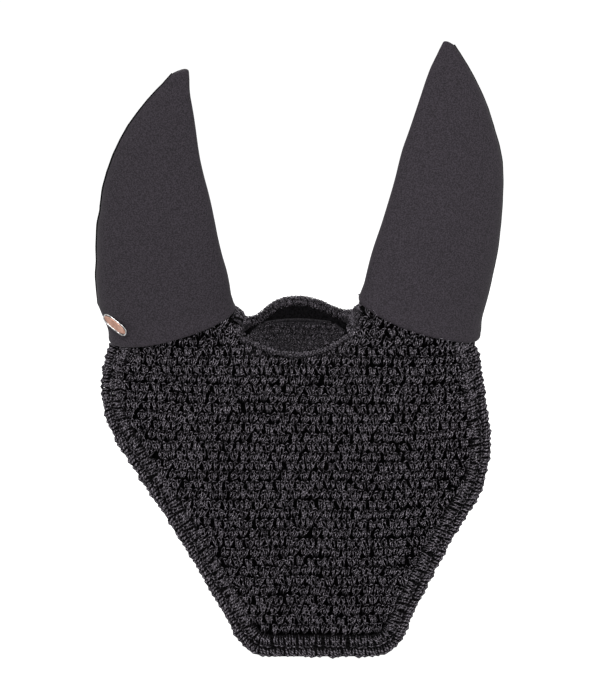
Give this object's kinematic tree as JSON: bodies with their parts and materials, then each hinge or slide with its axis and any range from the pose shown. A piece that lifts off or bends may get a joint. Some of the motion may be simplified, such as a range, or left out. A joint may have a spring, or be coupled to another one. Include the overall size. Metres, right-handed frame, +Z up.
{
  "type": "horse ear bonnet",
  "caption": "Crocheted horse ear bonnet, a fly veil with a lined trapezoid forehead panel, smooth stretch-fabric ear covers that flex and a crocheted band behind the ears.",
  "frame": {"origin": "the middle of the poll, level with the middle of the left ear's base", "axes": "+X to the viewer's right, +Y back over the poll, +Z up along the ears"},
  "size_m": [0.32, 0.1299, 0.4776],
  "materials": {
    "crochet_yarn": "matt crocheted cotton yarn, charcoal black",
    "ear_fabric": "smooth matt stretch fabric, charcoal",
    "lining_fabric": "fine dark lining cloth",
    "seam_thread": "black sewing thread",
    "silver_metal": "polished silver-tone rim",
    "rose_metal": "satin rose-gold tone plate",
    "steel_fixing": "plain steel"
  },
  "bodies": {
    "bonnet": {"front_panel": "crochet_yarn", "panel_border": "crochet_yarn", "edge_trim": "crochet_yarn", "lip_row": "crochet_yarn", "rear_band": "crochet_yarn", "arch_row": "crochet_yarn", "left_bridge": "crochet_yarn", "right_bridge": "crochet_yarn", "panel_lining": "lining_fabric", "flap_hem": "lining_fabric", "band_lining": "lining_fabric", "left_ear_cuff": "ear_fabric", "right_ear_cuff": "ear_fabric", "left_cuff_seam": "seam_thread", "left_base_seam": "seam_thread", "right_cuff_seam": "seam_thread", "right_base_seam": "seam_thread", "badge_rim": "silver_metal", "badge_plate": "rose_metal", "badge_prongs": "steel_fixing", "badge_backing": "steel_fixing"},
    "left_ear": {"left_ear_cover": "ear_fabric", "left_ear_seam": "seam_thread"},
    "right_ear": {"right_ear_cover": "ear_fabric", "right_ear_seam": "seam_thread"}
  },
  "joints": [
    {"name": "left_ear_swing", "type": "hinge", "parent": "bonnet", "child": "left_ear", "pos_m": [-0.1137, -0.0153, 0.0425], "axis": [0.9896, -0.1368, 0.0446], "range_deg": [-55, 14], "stiffness_Nm_per_rad": 0.4, "deforming": ["left_ear_cuff"]},
    {"name": "right_ear_swing", "type": "hinge", "parent": "bonnet", "child": "right_ear", "pos_m": [0.095, 0.0083, 0.048], "axis": [0.944, 0.2593, -0.204], "range_deg": [-40, 28], "stiffness_Nm_per_rad": 0.4, "deforming": ["right_ear_cuff"]}
  ]
}
